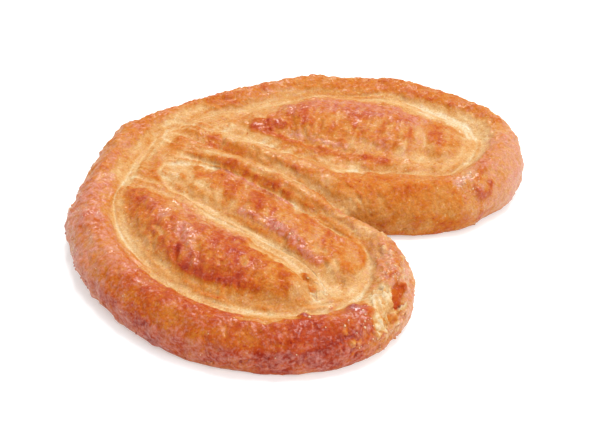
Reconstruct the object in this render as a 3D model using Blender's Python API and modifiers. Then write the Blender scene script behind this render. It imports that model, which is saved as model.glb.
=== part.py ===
"""A palmier: a flat puff pastry rolled in from both ends, cut across and baked lying down.

The pastry is one body. Its outer layer of dough runs all round the heart and turns in at the notch,
where the two rolls have baked together along a seam. Inside that rim each roll has its own folds.
Lengths in the tables are millimetres: +X runs from the rounded base to the open end of the notch,
+Y towards the far roll, +Z up, and the origin is on the table under the middle of the pastry.
"""

import bmesh
import bpy
import numpy as np

MM = 0.001

# Section through the pastry.
TOP_LEVEL = 9.5           # the plain parts of the top, above the table
FAR_RISE = 0.55           # how much more the far roll has puffed up, and the near one less
RISE_SPAN = 30.0          # the distance from the middle at which that rise is complete
WIDEST_LEVEL = 5.2        # height of the side's widest line
SIDE_RADIUS = 6.0         # how far in from the widest line the rounded side reaches
EDGE_BAND = 0.3           # closer to the widest line than this, inward is read from the line itself
BELOW_TABLE = -1.3        # lowest level of the rounded section, before it is cut flat
SLAB_HEIGHT = 10.0        # the plain slab that the section is worked from

# Folds.
RIM_RISE = 1.35           # the outer layer stands this far above the top level
RIM_CREST = 0.46          # where across the layer its crest lies, from its outer edge
RIM_SPREAD = 0.34
VALLEY_DEPTH = 1.15       # the valley between the outer layer and the inner folds
VALLEY_SPREAD = 1.7
SEAM_DEPTH = 0.8          # the seam between the two rolls, far from the notch
SEAM_NOTCH_DEPTH = 2.2    # and where it opens into the notch
SEAM_SPREAD = 1.7
FOLD_ROUNDNESS = 1.3      # 1 is a parabola across a fold, and more makes its foot gentler
LEGS_START = (-31.0, -15.0)    # the stretch of X over which the folds beside the seam rise out of the base

# Baked crust.
CRUST_COLOUR = (0.56, 0.22, 0.06, 1.0)
CRUST_ROUGHNESS = 0.45

# Mesh.
SPAN_STEPS = 8
VOXEL = 1.15
SOFT_PASSES = 2
TRIANGLES = 8600
TABLE_SIDE = 300.0        # of the block of table that the underside is cut by
TABLE_DEPTH = 20.0

# The outer layer: x, y and the layer's width. Both rolls share the base.
SEAM_END = (-25.0, 7.1)
SEAM = [(-9.0, 5.2), (5.0, 1.6)]
NOTCH = (17.6, -2.9)
FAR_SIDE = [
    (19.4, -1.7, 15.0), (26.0, 1.5, 14.5), (33.0, 5.2, 13.2), (40.2, 10.4, 12.3), (44.4, 18.8, 11.0),
    (46.4, 28.1, 11.0), (43.8, 40.1, 11.0), (35.7, 51.0, 11.4), (22.0, 56.0, 12.0), (5.2, 57.9, 13.2),
    (-7.5, 52.4, 12.2), (-16.9, 49.0, 12.6), (-29.5, 34.8, 11.8),
]
BASE = [(-37.0, 24.8, 11.3), (-44.5, 11.6, 11.9), (-46.7, 6.2, 12.2), (-44.1, -7.3, 11.2)]
NEAR_SIDE = [
    (-40.9, -19.6, 10.3), (-37.5, -28.4, 10.3), (-30.9, -37.6, 10.6), (-21.1, -46.7, 11.2),
    (-7.6, -53.9, 11.0), (9.0, -57.4, 11.0), (24.0, -54.6, 11.0), (35.8, -47.5, 10.7),
    (42.1, -38.3, 10.1), (43.4, -28.1, 9.9), (39.9, -17.1, 9.3), (32.4, -8.5, 8.2),
    (24.8, -5.5, 7.6), (19.2, -4.0, 7.5),
]
FAR_LEG_WIDTHS = (7.0, 7.5, 10.5, 15.0)    # of the leg beside the seam, from its inner end to the notch
NEAR_LEG_WIDTHS = (6.5, 7.0, 7.5, 7.5)

# Inner folds that stand up: x, y and half width along the fold, with its height.
NEAR_BLISTER = ([(-24, -18.4, 4.0), (-13, -26.9, 7.5), (0, -32.4, 9.5), (12, -34.9, 9.0), (21, -36.4, 5.5)], 3.0)
NEAR_BACK_FOLD = ([(-26, -7.4, 3.5), (-12, -9.9, 5.0), (2, -13.4, 5.5), (16, -18.9, 5.5), (28, -26.4, 4.0)], 1.5)
FAR_CORE = ([(-16, 21.1, 4.5), (-7, 25.1, 9.0), (3, 27.6, 12.5), (13, 28.1, 12.0), (18, 27.6, 9.0)], 2.7)
FAR_CURL = ([(23, 35.6, 3.5), (27, 32.1, 4.5), (28, 26.6, 4.0)], 1.3)

# Inner valleys: x and y along the valley, with its depth and spread.
NEAR_CENTRE_VALLEY = ([(-30, -12.4), (-20, -13.9), (-5, -18.9), (10, -22.9), (20, -26.4), (28, -33.4)], 1.1, 1.8)
FAR_CURL_VALLEY = ([(17, 39.6), (20, 33.6), (24, 26.6)], 0.9, 1.5)


def smooth_line(knots):
    """Points along a Catmull-Rom curve through the knots, which may carry a width as well as a place."""
    knots = np.array(knots, float)
    padded = np.vstack([2 * knots[0] - knots[1], knots, 2 * knots[-1] - knots[-2]])
    steps = np.linspace(0, 1, SPAN_STEPS, endpoint=False)[:, None]
    spans = []
    for before, start, end, after in zip(padded, padded[1:], padded[2:], padded[3:]):
        bend = 2 * before - 5 * start + 4 * end - after
        turn = 3 * (start - end) + after - before
        spans.append(start + 0.5 * steps * ((end - before) + steps * (bend + steps * turn)))
    return np.vstack([*spans, knots[-1:]])


def nearest(points, line):
    """For each point, its distance to the line, the direction from it, the line's normal and its width
    there, and how many spans along the line the nearest place lies."""
    start, run = line[:-1], np.diff(line, axis=0)
    length2 = (run[:, :2] ** 2).sum(axis=1)
    away = points[:, None, :2] - start[None, :, :2]
    along = np.clip((away * run[None, :, :2]).sum(axis=2) / length2, 0, 1)
    offset = away - along[..., None] * run[None, :, :2]
    distance = np.linalg.norm(offset, axis=2)
    best = distance.argmin(axis=1)
    rows = np.arange(len(points))
    found = distance[rows, best]
    direction = offset[rows, best] / np.maximum(found, 1e-9)[:, None]
    normal = np.stack([-run[best, 1], run[best, 0]], axis=1)
    normal /= np.linalg.norm(normal, axis=1)[:, None]
    part = along[rows, best]
    width = line[best, -1] + part * run[best, -1]
    return found, direction, normal, width, (best + part) / SPAN_STEPS


def smoothstep(low, high, value):
    t = np.clip((value - low) / (high - low), 0, 1)
    return t * t * (3 - 2 * t)


def leg(widths):
    """The outer layer beside the seam, from the seam's inner end to the notch."""
    places = [SEAM_END, *SEAM, NOTCH]
    return [(*place, width) for place, width in zip(places, widths)]


def outline():
    """The pastry's widest line, closed at the notch, running anticlockwise round the heart."""
    corners = [NOTCH, *FAR_SIDE, *BASE, *NEAR_SIDE, NOTCH]
    return smooth_line([corner[:2] for corner in corners])


def layer_relief(points, line):
    """How far the outer layer's crest rises, and how deep the valley inside it is, with the place along it."""
    distance, _, _, width, place = nearest(points, line)
    rise = RIM_RISE * np.exp(-(((distance / width - RIM_CREST) / RIM_SPREAD) ** 2))
    valley = VALLEY_DEPTH * np.exp(-(((distance - width) / VALLEY_SPREAD) ** 2))
    return np.array([rise, valley]), place


def roll_relief(points, leg_widths, side, other_side_start):
    """The outer layer's relief on one roll, whose legs beside the seam rise gently out of the base."""
    beside_seam = leg(leg_widths)
    relief, place = layer_relief(points, smooth_line([*beside_seam, *side, other_side_start]))
    on_leg = place < len(beside_seam) - 1
    relief *= np.where(on_leg, smoothstep(*LEGS_START, points[:, 0]), 1)
    from_outside, _ = layer_relief(points, smooth_line([*side, other_side_start]))
    return np.where(points[:, 0] < LEGS_START[1], np.maximum(relief, from_outside), relief)


def fold_height(points, fold):
    knots, height = fold
    distance, _, _, half_width, _ = nearest(points, smooth_line(knots))
    return height * np.maximum(0, 1 - (distance / half_width) ** 2) ** FOLD_ROUNDNESS


def valley_depth(points, valley):
    knots, depth, spread = valley
    distance = nearest(points, smooth_line(knots))[0]
    return depth * np.exp(-((distance / spread) ** 2))


def top_height(points):
    """Height of the top above the table, before the side rounds it off."""
    seam = smooth_line([SEAM_END, *SEAM, NOTCH])
    is_far = points[:, 1] > np.interp(points[:, 0], seam[:, 0], seam[:, 1])
    far = roll_relief(points, FAR_LEG_WIDTHS, [*FAR_SIDE, *BASE], NEAR_SIDE[0])
    near = roll_relief(points, NEAR_LEG_WIDTHS, [*NEAR_SIDE[::-1], *BASE[::-1]], FAR_SIDE[-1])
    rise, valley = np.where(is_far, far, near)
    height = TOP_LEVEL + FAR_RISE * np.clip(points[:, 1] / RISE_SPAN, -1, 1) + rise - valley

    opening = smoothstep(0.0, NOTCH[0], points[:, 0])
    seam_depth = SEAM_DEPTH * smoothstep(*LEGS_START, points[:, 0])
    seam_depth += (SEAM_NOTCH_DEPTH - SEAM_DEPTH) * opening
    height -= seam_depth * np.exp(-((nearest(points, seam)[0] / SEAM_SPREAD) ** 2))

    for fold in (NEAR_BLISTER, NEAR_BACK_FOLD, FAR_CORE, FAR_CURL):
        height += fold_height(points, fold)
    for inner_valley in (NEAR_CENTRE_VALLEY, FAR_CURL_VALLEY):
        height -= valley_depth(points, inner_valley)
    return height


def pastry_section(points):
    """Moves the points of a straight-sided slab to the pastry's rounded side and folded top."""
    edge = outline()
    distance, direction, normal, _, _ = nearest(points, edge)
    inward = np.where(distance[:, None] > EDGE_BAND, direction, normal)
    beside = np.clip(1 - distance / SIDE_RADIUS, 0, 1)
    level = np.clip(2 * points[:, 2] / SLAB_HEIGHT - 1, -1, 1)
    rounded_beside = beside * np.sqrt(1 - level ** 2 / 2)
    rounded_level = level * np.sqrt(1 - beside ** 2 / 2)
    moved = points.copy()
    moved[:, :2] += inward * (SIDE_RADIUS * (beside - rounded_beside))[:, None]
    above = top_height(moved) - WIDEST_LEVEL
    below = WIDEST_LEVEL - BELOW_TABLE
    moved[:, 2] = WIDEST_LEVEL + rounded_level * np.where(rounded_level > 0, above, below)
    return moved


def new_collection(name):
    collection = bpy.data.collections.new(name)
    bpy.context.scene.collection.children.link(collection)
    return collection


def crust_material():
    material = bpy.data.materials.new("baked_crust")
    material.use_nodes = True
    shader = material.node_tree.nodes["Principled BSDF"]
    shader.inputs["Base Color"].default_value = CRUST_COLOUR
    shader.inputs["Roughness"].default_value = CRUST_ROUGHNESS
    return material


def slab_mesh():
    """The heart-shaped slab: the flat outline, given thickness and remeshed into even small faces."""
    curve = bpy.data.curves.new("heart_outline", "CURVE")
    curve.dimensions = "2D"
    curve.fill_mode = "BOTH"
    curve.extrude = SLAB_HEIGHT / 2 * MM
    points = outline()[:-1]
    spline = curve.splines.new("POLY")
    spline.points.add(len(points) - 1)
    for point, (x, y) in zip(spline.points, points):
        point.co = (x * MM, y * MM, 0, 1)
    spline.use_cyclic_u = True
    drawn = bpy.data.objects.new("heart_outline", curve)
    bpy.context.scene.collection.objects.link(drawn)
    bpy.context.view_layer.update()
    solid = bpy.data.meshes.new_from_object(drawn.evaluated_get(bpy.context.evaluated_depsgraph_get()))
    bpy.data.objects.remove(drawn)

    shape = bmesh.new()
    shape.from_mesh(solid)
    bmesh.ops.remove_doubles(shape, verts=shape.verts, dist=0.0001)
    bmesh.ops.translate(shape, verts=shape.verts, vec=(0, 0, SLAB_HEIGHT / 2 * MM))
    shape.to_mesh(solid)
    shape.free()

    slab = bpy.data.objects.new("slab", solid)
    bpy.context.scene.collection.objects.link(slab)
    remesh = slab.modifiers.new("even_faces", "REMESH")
    remesh.mode = "VOXEL"
    remesh.voxel_size = VOXEL * MM
    bpy.context.view_layer.update()
    mesh = bpy.data.meshes.new_from_object(slab.evaluated_get(bpy.context.evaluated_depsgraph_get()))
    bpy.data.objects.remove(slab)
    return mesh


def shape_pastry(mesh):
    places = np.empty(len(mesh.vertices) * 3)
    mesh.vertices.foreach_get("co", places)
    moved = pastry_section(places.reshape(-1, 3) / MM)
    middle = (moved[:, :2].max(axis=0) + moved[:, :2].min(axis=0)) / 2
    moved[:, :2] -= middle
    mesh.vertices.foreach_set("co", (moved * MM).ravel())
    mesh.update()


def make_pastry(parts, table):
    mesh = slab_mesh()
    shape_pastry(mesh)
    mesh.name = "palmier"
    pastry = bpy.data.objects.new("palmier", mesh)
    parts.objects.link(pastry)
    pastry.data.materials.clear()
    pastry.data.materials.append(crust_material())

    soft = pastry.modifiers.new("soft", "SMOOTH")
    soft.factor = 0.5
    soft.iterations = SOFT_PASSES
    fewer = pastry.modifiers.new("fewer_faces", "DECIMATE")
    fewer.decimate_type = "COLLAPSE"
    fewer.ratio = TRIANGLES / (2 * len(mesh.polygons))
    fewer.use_collapse_triangulate = True
    flat = pastry.modifiers.new("flat_underside", "BOOLEAN")
    flat.operation = "DIFFERENCE"
    flat.solver = "EXACT"
    flat.object = table
    mesh.shade_smooth()
    return pastry


def make_table(cutters):
    """What lies below the table level, which the underside is cut flat by."""
    bpy.ops.mesh.primitive_cube_add(size=1, location=(0, 0, -TABLE_DEPTH / 2 * MM))
    table = bpy.context.object
    table.name = "table_cut"
    table.scale = (TABLE_SIDE * MM, TABLE_SIDE * MM, TABLE_DEPTH * MM)
    bpy.ops.object.transform_apply(location=False, rotation=False, scale=True)
    for holder in list(table.users_collection):
        holder.objects.unlink(table)
    cutters.objects.link(table)
    table.hide_render = True
    table.display_type = "WIRE"
    return table


def main():
    for old in list(bpy.data.objects):
        bpy.data.objects.remove(old)
    parts = new_collection("palmier_pastry")
    cutters = new_collection("cutters")
    make_pastry(parts, make_table(cutters))


main()
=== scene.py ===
"""The looks of a palmier: its baked crust, lifted flakes and sugar, on a plain floor in soft light.

Lengths are millimetres in the part's own frame, and are turned into metres where a mesh is made:
+X runs from the rounded base to the open end of the notch, +Y towards the far roll, +Z up.
"""

import itertools
import math
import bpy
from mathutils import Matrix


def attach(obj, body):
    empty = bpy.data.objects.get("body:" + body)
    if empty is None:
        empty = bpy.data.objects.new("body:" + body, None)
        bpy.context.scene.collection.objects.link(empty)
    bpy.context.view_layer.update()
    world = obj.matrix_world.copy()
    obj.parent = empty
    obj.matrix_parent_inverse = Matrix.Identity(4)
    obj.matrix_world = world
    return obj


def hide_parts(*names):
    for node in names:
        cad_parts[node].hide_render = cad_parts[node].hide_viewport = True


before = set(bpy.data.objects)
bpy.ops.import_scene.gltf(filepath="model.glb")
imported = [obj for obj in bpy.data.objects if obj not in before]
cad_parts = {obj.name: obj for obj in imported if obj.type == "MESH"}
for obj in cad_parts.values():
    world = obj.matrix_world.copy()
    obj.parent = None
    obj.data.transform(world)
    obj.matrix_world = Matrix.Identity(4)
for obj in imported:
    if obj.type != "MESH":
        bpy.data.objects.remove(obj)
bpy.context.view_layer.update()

from types import SimpleNamespace

import bmesh
import bpy
import numpy as np
from mathutils import Vector, kdtree

MM = 0.001

# ---- the pastry's form, as in the CAD

TOP_LEVEL = 9.5           # the plain parts of the top, above the table
FAR_RISE = 0.55           # how much more the far roll has puffed up, and the near one less
RISE_SPAN = 30.0
WIDEST_LEVEL = 5.2        # height of the side's widest line
SIDE_RADIUS = 6.0
EDGE_BAND = 0.3
BELOW_TABLE = -1.3
SLAB_HEIGHT = 10.0
MERGE_WITHIN = 0.1        # joins the outline's doubled points
FILLET = 0.25             # how softly the rounded side meets the flat underside
UNDERSIDE_GROOVE = 0.8    # the layers' valleys show underneath as well, by this share of their depth

RIM_RISE = 1.35           # the outer layer stands this far above the top level
RIM_CREST = 0.46
RIM_SPREAD = 0.34
VALLEY_DEPTH = 1.15       # the valley between the outer layer and the inner folds
VALLEY_SPREAD = 1.7
SEAM_DEPTH = 0.8
SEAM_NOTCH_DEPTH = 2.2
SEAM_SPREAD = 1.7
FOLD_ROUNDNESS = 1.3
FOLD_START = 0.35         # a fold's share of its height at its inner end
FOLD_RISES_IN = 1.3       # spans
INNER_VALLEY_START = 0.25
INNER_VALLEY_OPENS_IN = 1.6
LEGS_START = (-31.0, -15.0)

SPAN_STEPS = 8
VOXEL = 0.37
SOFTENING = 0.5           # how far one pass moves a point towards its neighbours
SOFT_PASSES = 3
UNDERSIDE_SHARE = 0.13    # of the underside's faces, how many are kept
UNDERSIDE_BELOW = 1.6
UNDERSIDE_FACING = -0.6
CHUNK = 12000             # points worked out at a time

# The outer layer: x, y and the layer's width. Both rolls share the base.
SEAM_END = (-25.0, 7.1)
SEAM = [(-9.0, 5.2), (5.0, 1.6)]
NOTCH = (17.6, -2.9)
FAR_SIDE = [
    (19.4, -1.7, 15.0), (26.0, 1.5, 14.5), (33.0, 5.2, 13.2), (40.2, 10.4, 12.3), (44.4, 18.8, 11.0),
    (46.4, 28.1, 11.0), (43.8, 40.1, 11.0), (35.7, 51.0, 11.4), (22.0, 56.0, 12.0), (5.2, 57.9, 13.2),
    (-7.5, 52.4, 12.2), (-16.9, 49.0, 12.6), (-29.5, 34.8, 11.8),
]
BASE = [(-37.0, 24.8, 11.3), (-44.5, 11.6, 11.9), (-46.7, 6.2, 12.2), (-44.1, -7.3, 11.2)]
NEAR_SIDE = [
    (-40.9, -19.6, 10.3), (-37.5, -28.4, 10.3), (-30.9, -37.6, 10.6), (-21.1, -46.7, 11.2),
    (-7.6, -53.9, 11.0), (9.0, -57.4, 11.0), (24.0, -54.6, 11.0), (35.8, -47.5, 10.7),
    (42.1, -38.3, 10.1), (43.4, -28.1, 9.9), (39.9, -17.1, 9.3), (32.4, -8.5, 8.2),
    (24.8, -5.5, 7.6), (19.2, -4.0, 7.5),
]
FAR_LEG_WIDTHS = (7.0, 7.5, 10.5, 15.0)
NEAR_LEG_WIDTHS = (6.5, 7.0, 7.5, 7.5)
CAD_MIDDLE = (-0.15, 0.32)    # of the tables above, which the part's frame has its origin on

# Inner folds that stand up: x, y and half width along the fold, with its height.
NEAR_BLISTER = (
    [(-24, -18.4, 4), (-13, -26.9, 7.5), (0, -32.4, 9.5), (12, -34.9, 9), (21, -36.4, 5.5)],
    3.0,
)
NEAR_BACK_FOLD = (
    [(-26, -7.4, 3.5), (-12, -9.9, 5), (2, -13.4, 5.5), (16, -18.9, 5.5), (28, -26.4, 4)],
    1.5,
)
FAR_CORE = ([(-16, 21.1, 4.5), (-7, 25.1, 9.0), (3, 27.6, 12.5), (13, 28.1, 12.0), (18, 27.6, 9.0)], 2.7)
FAR_CURL = ([(23, 35.6, 3.5), (27, 32.1, 4.5), (28, 26.6, 4.0)], 1.3)

FOLDS = (NEAR_BLISTER, NEAR_BACK_FOLD, FAR_CORE, FAR_CURL)

# Inner valleys: x and y along the valley, with its depth and spread.
NEAR_CENTRE_VALLEY = (
    [(-30, -12.4), (-20, -13.9), (-5, -18.9), (10, -22.9), (20, -26.4), (28, -33.4)],
    1.1,
    1.8,
)
FAR_CURL_VALLEY = ([(17, 39.6), (20, 33.6), (24, 26.6)], 0.9, 1.5)
INNER_VALLEYS = (NEAR_CENTRE_VALLEY, FAR_CURL_VALLEY)


# ---- lines, masks and noise


# A hash of whole numbers: a factor for each axis and for the seed, then the shifts and factors that mix it.
AXIS_FACTORS = (73856093, 19349663, 83492791)
SEED_FACTOR = 40503
MIXING = ((15, 2246822519), (13, 3266489917))
LAST_SHIFT = 16
LOW_BITS = 0xFFFFFFFF
TURNED = np.array([[0.80, -0.36, 0.48], [0.60, 0.48, -0.64], [0.0, 0.80, 0.60]])
LAYER_SEEDS = 11          # seeds from one layer of noise to the next
LAYER_GAIN = 1.5          # brings layered noise back to about -1 to 1


def smooth_line(knots):
    """Points along a Catmull-Rom curve through the knots, which may carry a width as well as a place."""
    knots = np.array(knots, float)
    padded = np.vstack([2 * knots[0] - knots[1], knots, 2 * knots[-1] - knots[-2]])
    steps = np.linspace(0, 1, SPAN_STEPS, endpoint=False)[:, None]
    spans = []
    for before, start, end, after in zip(padded, padded[1:], padded[2:], padded[3:]):
        bend = 2 * before - 5 * start + 4 * end - after
        turn = 3 * (start - end) + after - before
        spans.append(start + 0.5 * steps * ((end - before) + steps * (bend + steps * turn)))
    return np.vstack([*spans, knots[-1:]])


def nearest_in_chunk(points, line):
    start, run = line[:-1], np.diff(line, axis=0)
    length2 = (run[:, :2] ** 2).sum(axis=1)
    away_x = points[:, 0, None] - start[None, :, 0]
    away_y = points[:, 1, None] - start[None, :, 1]
    along = np.clip((away_x * run[None, :, 0] + away_y * run[None, :, 1]) / length2, 0, 1)
    away_x -= along * run[None, :, 0]
    away_y -= along * run[None, :, 1]
    distance2 = away_x ** 2 + away_y ** 2
    best = distance2.argmin(axis=1)
    rows = np.arange(len(points))
    found = np.sqrt(distance2[rows, best])
    offset = np.stack([away_x[rows, best], away_y[rows, best]], axis=1)
    normal = np.stack([-run[best, 1], run[best, 0]], axis=1)
    normal /= np.linalg.norm(normal, axis=1)[:, None]
    part = along[rows, best]
    width = line[best, -1] + part * run[best, -1]
    place = (best + part) / SPAN_STEPS
    return np.column_stack([found, offset / np.maximum(found, 1e-9)[:, None], normal, width, place])


def nearest(points, line):
    """For each point, its distance to the line, the direction from it, the line's normal and its width
    there, and how many spans along the line the nearest place lies."""
    chunks = [nearest_in_chunk(points[at:at + CHUNK], line) for at in range(0, len(points), CHUNK)]
    table = np.concatenate(chunks)
    return table[:, 0], table[:, 1:3], table[:, 3:5], table[:, 5], table[:, 6]


def arc_lengths(line):
    steps = np.linalg.norm(np.diff(line[:, :2], axis=0), axis=1)
    return np.concatenate([[0], np.cumsum(steps)])


def along_line(place, line):
    return np.interp(place * SPAN_STEPS, np.arange(len(line)), arc_lengths(line))


def smoothstep(low, high, value):
    t = np.clip((value - low) / (high - low), 0, 1)
    return t * t * (3 - 2 * t)


def bell(distance, reach):
    return np.exp(-((distance / reach) ** 2))


def oval(points, centre, halves, turn):
    """Distance from the centre in half lengths of an oval that lies level, turned anticlockwise."""
    angle = math.radians(turn)
    away = points - np.array(centre)
    long_way = away[:, 0] * math.cos(angle) + away[:, 1] * math.sin(angle)
    short_way = away[:, 1] * math.cos(angle) - away[:, 0] * math.sin(angle)
    return np.sqrt((long_way / halves[0]) ** 2 + (short_way / halves[1]) ** 2 + (away[:, 2] / halves[0]) ** 2)


def stacked(*columns):
    """Places from columns of numbers, a bare number standing for a whole column."""
    return np.column_stack(np.broadcast_arrays(*columns))


def lattice(cells, seed):
    """A random number from 0 to 1 for each whole-number place."""
    mixed = seed * SEED_FACTOR
    for axis, factor in enumerate(AXIS_FACTORS):
        mixed = mixed ^ (cells[:, axis] * factor)
    mixed = mixed & LOW_BITS
    for shift, factor in MIXING:
        mixed = ((mixed ^ (mixed >> shift)) * factor) & LOW_BITS
    return (mixed ^ (mixed >> LAST_SHIFT)) / LOW_BITS


def skewed(places):
    """The places turned about two axes, so that no lattice lines up with the pastry."""
    return places @ TURNED


def cloud(places, seed):
    """Smooth noise from -1 to 1 with lumps about one unit across."""
    places = skewed(places)
    low = np.floor(places).astype(np.int64)
    part = places - low
    part = part * part * (3 - 2 * part)
    total = np.zeros(len(places))
    for corner in itertools.product((0, 1), repeat=3):
        weight = np.where(corner, part, 1 - part).prod(axis=1)
        total += weight * lattice(low + np.array(corner), seed)
    return 2 * total - 1


def clouds(points, size, seed, layers=3):
    """Noise of several sizes, the largest of them `size` across, each half as strong as the one before."""
    total = np.zeros(len(points))
    weight, weights = 1.0, 0.0
    for layer in range(layers):
        total += weight * cloud(points / size * 2 ** layer, seed + LAYER_SEEDS * layer)
        weights += weight
        weight *= 0.5
    return total / weights * LAYER_GAIN


def billows(points, size, seed):
    """Round lumps about `size` across with sharp creases between: 0 in a crease, about 1 on a lump."""
    return 1.4 * np.abs(cloud(points / size, seed)) + 0.6 * np.abs(cloud(points / size * 2.1, seed + 1))


def bubbles(points, size, seed):
    """Round bumps scattered about `size` apart: 1 at a bump's middle and 0 between them."""
    places = skewed(points / size)
    low = np.floor(places).astype(np.int64)
    least = np.full(len(places), np.inf)
    for corner in itertools.product((-1, 0, 1), repeat=3):
        cell = low + np.array(corner)
        middle = cell + np.stack([lattice(cell, seed + axis) for axis in range(3)], axis=1)
        least = np.minimum(least, ((places - middle) ** 2).sum(axis=1))
    return np.clip(1 - least / 0.5, 0, 1)


# ---- the form


def leg(widths):
    """The outer layer beside the seam, from the seam's inner end to the notch."""
    places = [SEAM_END, *SEAM, NOTCH]
    return [(*place, width) for place, width in zip(places, widths)]


def outline():
    """The pastry's widest line, closed at the notch, running anticlockwise round the heart."""
    corners = [NOTCH, *FAR_SIDE, *BASE, *NEAR_SIDE, NOTCH]
    return smooth_line([corner[:2] for corner in corners])


def layer_relief(points, line):
    """How far the outer layer's crest rises, how deep the valley inside it is, and the place along it."""
    distance, _, _, width, place = nearest(points, line)
    rise = RIM_RISE * bell(distance / width - RIM_CREST, RIM_SPREAD)
    valley = VALLEY_DEPTH * bell(distance - width, VALLEY_SPREAD)
    return np.array([rise, valley]), place


def roll_relief(points, leg_widths, side, other_side_start):
    """The outer layer's relief on one roll, whose legs beside the seam rise gently out of the base."""
    beside_seam = leg(leg_widths)
    relief, place = layer_relief(points, smooth_line([*beside_seam, *side, other_side_start]))
    on_leg = place < len(beside_seam) - 1
    relief *= np.where(on_leg, smoothstep(*LEGS_START, points[:, 0]), 1)
    from_outside, _ = layer_relief(points, smooth_line([*side, other_side_start]))
    return np.where(points[:, 0] < LEGS_START[1], np.maximum(relief, from_outside), relief)


def fold_height(points, fold):
    """A fold stands up gently at its inner end, which is its first span."""
    knots, height = fold
    distance, _, _, half_width, place = nearest(points, smooth_line(knots))
    rising = FOLD_START + (1 - FOLD_START) * smoothstep(0, FOLD_RISES_IN, place)
    return height * rising * np.maximum(0, 1 - (distance / half_width) ** 2) ** FOLD_ROUNDNESS


def valley_depth(points, valley):
    """A valley opens gently from its first knot."""
    knots, depth, spread = valley
    distance, _, _, _, place = nearest(points, smooth_line(knots))
    opened = INNER_VALLEY_START + (1 - INNER_VALLEY_START) * smoothstep(0, INNER_VALLEY_OPENS_IN, place)
    return depth * opened * bell(distance, spread)


def seam_valley(points, seam):
    """The seam starts out of the base, and is deepest where it opens into the notch."""
    opening = smoothstep(0, NOTCH[0], points[:, 0])
    depth = SEAM_DEPTH * smoothstep(*LEGS_START, points[:, 0])
    depth += (SEAM_NOTCH_DEPTH - SEAM_DEPTH) * opening
    return depth * bell(nearest(points, seam)[0], SEAM_SPREAD)


def layers_of(points):
    """The top's rises and valleys, each as a length above or below the plain top."""
    seam = smooth_line([SEAM_END, *SEAM, NOTCH])
    is_far = points[:, 1] > np.interp(points[:, 0], seam[:, 0], seam[:, 1])
    far = roll_relief(points, FAR_LEG_WIDTHS, [*FAR_SIDE, *BASE], NEAR_SIDE[0])
    near = roll_relief(points, NEAR_LEG_WIDTHS, [*NEAR_SIDE[::-1], *BASE[::-1]], FAR_SIDE[-1])
    rise, valley = np.where(is_far, far, near)
    return {
        "rise": rise,
        "valley": valley,
        "inner_valley": sum(valley_depth(points, valley) for valley in INNER_VALLEYS),
        "seam": seam_valley(points, seam),
        "folds": sum(fold_height(points, fold) for fold in FOLDS),
    }


def top_height(points, layers):
    plain = TOP_LEVEL + FAR_RISE * np.clip(points[:, 1] / RISE_SPAN, -1, 1)
    raised = layers["rise"] + layers["folds"]
    return plain + raised - layers["valley"] - layers["inner_valley"] - layers["seam"]


def section(points):
    """Moves a straight-sided slab's points to the rounded side, the folded top and a grooved underside."""
    distance, direction, normal, _, _ = nearest(points, outline())
    inward = np.where(distance[:, None] > EDGE_BAND, direction, normal)
    beside = np.clip(1 - distance / SIDE_RADIUS, 0, 1)
    level = np.clip(2 * points[:, 2] / SLAB_HEIGHT - 1, -1, 1)
    rounded_beside = beside * np.sqrt(1 - level ** 2 / 2)
    rounded_level = level * np.sqrt(1 - beside ** 2 / 2)
    moved = points.copy()
    moved[:, :2] += inward * (SIDE_RADIUS * (beside - rounded_beside))[:, None]
    layers = layers_of(moved)
    above = top_height(moved, layers) - WIDEST_LEVEL
    below = WIDEST_LEVEL - BELOW_TABLE
    height = WIDEST_LEVEL + rounded_level * np.where(rounded_level > 0, above, below)
    grooves = UNDERSIDE_GROOVE * (layers["valley"] + layers["inner_valley"] + layers["seam"])
    grooves *= 0.65 + 0.35 * clouds(moved, 9.0, seed=51, layers=2)
    grooves += 0.12 + 0.12 * clouds(moved, 7.0, seed=50, layers=2)
    floor = 0.5 * (height + np.sqrt(height ** 2 + FILLET ** 2))
    moved[:, 2] = np.where(height < 0, floor + grooves * smoothstep(0, -1.0, height), floor)
    moved[:, :2] -= np.array(CAD_MIDDLE)
    return moved


# ---- mesh helpers


def new_object(name, data):
    made = bpy.data.objects.new(name, data)
    bpy.context.scene.collection.objects.link(made)
    return made


def mesh_of(obj):
    """The object's mesh with its modifiers applied; the object is removed."""
    bpy.context.view_layer.update()
    mesh = bpy.data.meshes.new_from_object(obj.evaluated_get(bpy.context.evaluated_depsgraph_get()))
    bpy.data.objects.remove(obj)
    return mesh


def places_of(mesh):
    places = np.empty(len(mesh.vertices) * 3)
    mesh.vertices.foreach_get("co", places)
    return places.reshape(-1, 3) / MM


def put_places(mesh, places):
    mesh.vertices.foreach_set("co", (places * MM).ravel())
    mesh.update()


def normals_of(mesh):
    normals = np.empty(len(mesh.vertices) * 3)
    mesh.vertex_normals.foreach_get("vector", normals)
    return normals.reshape(-1, 3)


def give_values(mesh, **values):
    """Gives each point of the mesh its named values, one number for all of them or a list."""
    for name, value in values.items():
        layer = mesh.attributes.new(name, "FLOAT", "POINT")
        layer.data.foreach_set("value", np.full(len(mesh.vertices), np.clip(value, 0, 1), np.float32))


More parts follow.
